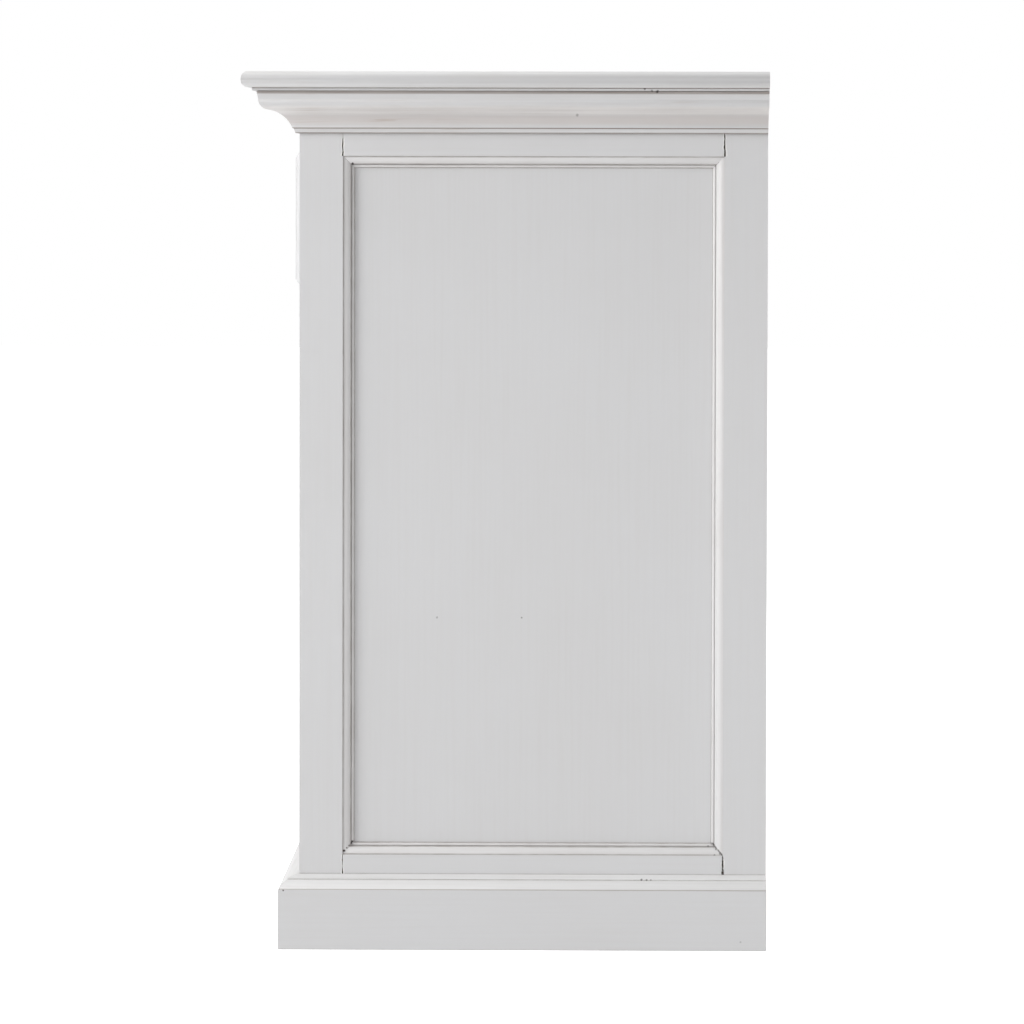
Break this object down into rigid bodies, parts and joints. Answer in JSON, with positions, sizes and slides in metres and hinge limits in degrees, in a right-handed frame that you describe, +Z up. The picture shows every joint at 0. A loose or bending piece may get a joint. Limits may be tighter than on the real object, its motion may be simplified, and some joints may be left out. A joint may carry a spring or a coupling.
{
  "type": "buffet cabinet",
  "caption": "Painted wooden buffet cabinet with a moulded cornice, plinth and panelled ends, sliding drawers over hinged panelled doors, and hanging ring pulls.",
  "frame": {"origin": "on the floor, at the centre of the whole cabinet's footprint, which is the top board's", "axes": "+X to the right along the length as seen from the front, +Y towards the back, +Z up; the drawers and doors face -Y"},
  "size_m": [1.45, 0.508, 0.851],
  "materials": {
    "white_paint": "brushed white satin paint over timber",
    "bare_timber": "planed and waxed solid timber",
    "plywood": "thin sealed plywood",
    "brass": "aged brass, softly polished"
  },
  "bodies": {
    "carcass": {"top_board": "white_paint", "crown_moulding": "white_paint", "bed_moulding": "white_paint", "front_posts": "white_paint", "rear_posts": "white_paint", "side_rails": "white_paint", "side_panels": "white_paint", "side_mouldings": "white_paint", "face_rails": "white_paint", "mid_rails": "white_paint", "mullions": "white_paint", "partitions": "bare_timber", "bottom_board": "bare_timber", "drawer_runners": "bare_timber", "drawer_kickers": "bare_timber", "shelves": "bare_timber", "shelf_pins": "brass", "back_rails": "bare_timber", "back_muntins": "bare_timber", "back_panels": "plywood", "plinth_front": "white_paint", "plinth_sides": "white_paint", "plinth_capping": "white_paint", "hinge_frame_leaves": "brass", "hinge_pins": "brass", "door_catches": "brass", "top_buttons": "bare_timber"},
    "drawer_left": {"drawer_front_left": "white_paint", "drawer_box_left": "bare_timber", "drawer_bottom_left": "plywood", "drawer_plate_left": "brass"},
    "drawer_ring_left": {"drawer_ring_left": "brass"},
    "door_left": {"door_frame_left": "white_paint", "door_panel_left": "white_paint", "door_moulding_left": "white_paint", "door_hinges_left": "brass", "door_plate_left": "brass"},
    "door_ring_left": {"door_ring_left": "brass"},
    "drawer_middle": {"drawer_front_middle": "white_paint", "drawer_box_middle": "bare_timber", "drawer_bottom_middle": "plywood", "drawer_plate_middle": "brass"},
    "drawer_ring_middle": {"drawer_ring_middle": "brass"},
    "door_middle": {"door_frame_middle": "white_paint", "door_panel_middle": "white_paint", "door_moulding_middle": "white_paint", "door_hinges_middle": "brass", "door_plate_middle": "brass"},
    "door_ring_middle": {"door_ring_middle": "brass"},
    "drawer_right": {"drawer_front_right": "white_paint", "drawer_box_right": "bare_timber", "drawer_bottom_right": "plywood", "drawer_plate_right": "brass"},
    "drawer_ring_right": {"drawer_ring_right": "brass"},
    "door_right": {"door_frame_right": "white_paint", "door_panel_right": "white_paint", "door_moulding_right": "white_paint", "door_hinges_right": "brass", "door_plate_right": "brass"},
    "door_ring_right": {"door_ring_right": "brass"}
  },
  "joints": [
    {"name": "drawer_slide_left", "type": "slide", "parent": "carcass", "child": "drawer_left", "axis": [0, -1, 0], "range_m": [0, 0.33]},
    {"name": "drawer_ring_hinge_left", "type": "hinge", "parent": "drawer_left", "child": "drawer_ring_left", "pos_m": [-0.431, -0.2109, 0.717], "axis": [-1, 0, 0], "range_deg": [0, 180]},
    {"name": "door_hinge_left", "type": "hinge", "parent": "carcass", "child": "door_left", "pos_m": [-0.628, -0.1995, 0.35625], "axis": [0, 0, -1], "range_deg": [0, 110]},
    {"name": "door_ring_hinge_left", "type": "hinge", "parent": "door_left", "child": "door_ring_left", "pos_m": [-0.2625, -0.2046, 0.45125], "axis": [-1, 0, 0], "range_deg": [0, 180]},
    {"name": "drawer_slide_middle", "type": "slide", "parent": "carcass", "child": "drawer_middle", "axis": [0, -1, 0], "range_m": [0, 0.33]},
    {"name": "drawer_ring_hinge_middle", "type": "hinge", "parent": "drawer_middle", "child": "drawer_ring_middle", "pos_m": [0, -0.2109, 0.717], "axis": [-1, 0, 0], "range_deg": [0, 180]},
    {"name": "door_hinge_middle", "type": "hinge", "parent": "carcass", "child": "door_middle", "pos_m": [-0.197, -0.1995, 0.35625], "axis": [0, 0, -1], "range_deg": [0, 110]},
    {"name": "door_ring_hinge_middle", "type": "hinge", "parent": "door_middle", "child": "door_ring_middle", "pos_m": [0.1685, -0.2046, 0.45125], "axis": [-1, 0, 0], "range_deg": [0, 180]},
    {"name": "drawer_slide_right", "type": "slide", "parent": "carcass", "child": "drawer_right", "axis": [0, -1, 0], "range_m": [0, 0.33]},
    {"name": "drawer_ring_hinge_right", "type": "hinge", "parent": "drawer_right", "child": "drawer_ring_right", "pos_m": [0.431, -0.2109, 0.717], "axis": [-1, 0, 0], "range_deg": [0, 180]},
    {"name": "door_hinge_right", "type": "hinge", "parent": "carcass", "child": "door_right", "pos_m": [0.628, -0.1995, 0.35625], "axis": [0, 0, 1], "range_deg": [0, 110]},
    {"name": "door_ring_hinge_right", "type": "hinge", "parent": "door_right", "child": "door_ring_right", "pos_m": [0.2625, -0.2046, 0.45125], "axis": [-1, 0, 0], "range_deg": [0, 180]}
  ]
}
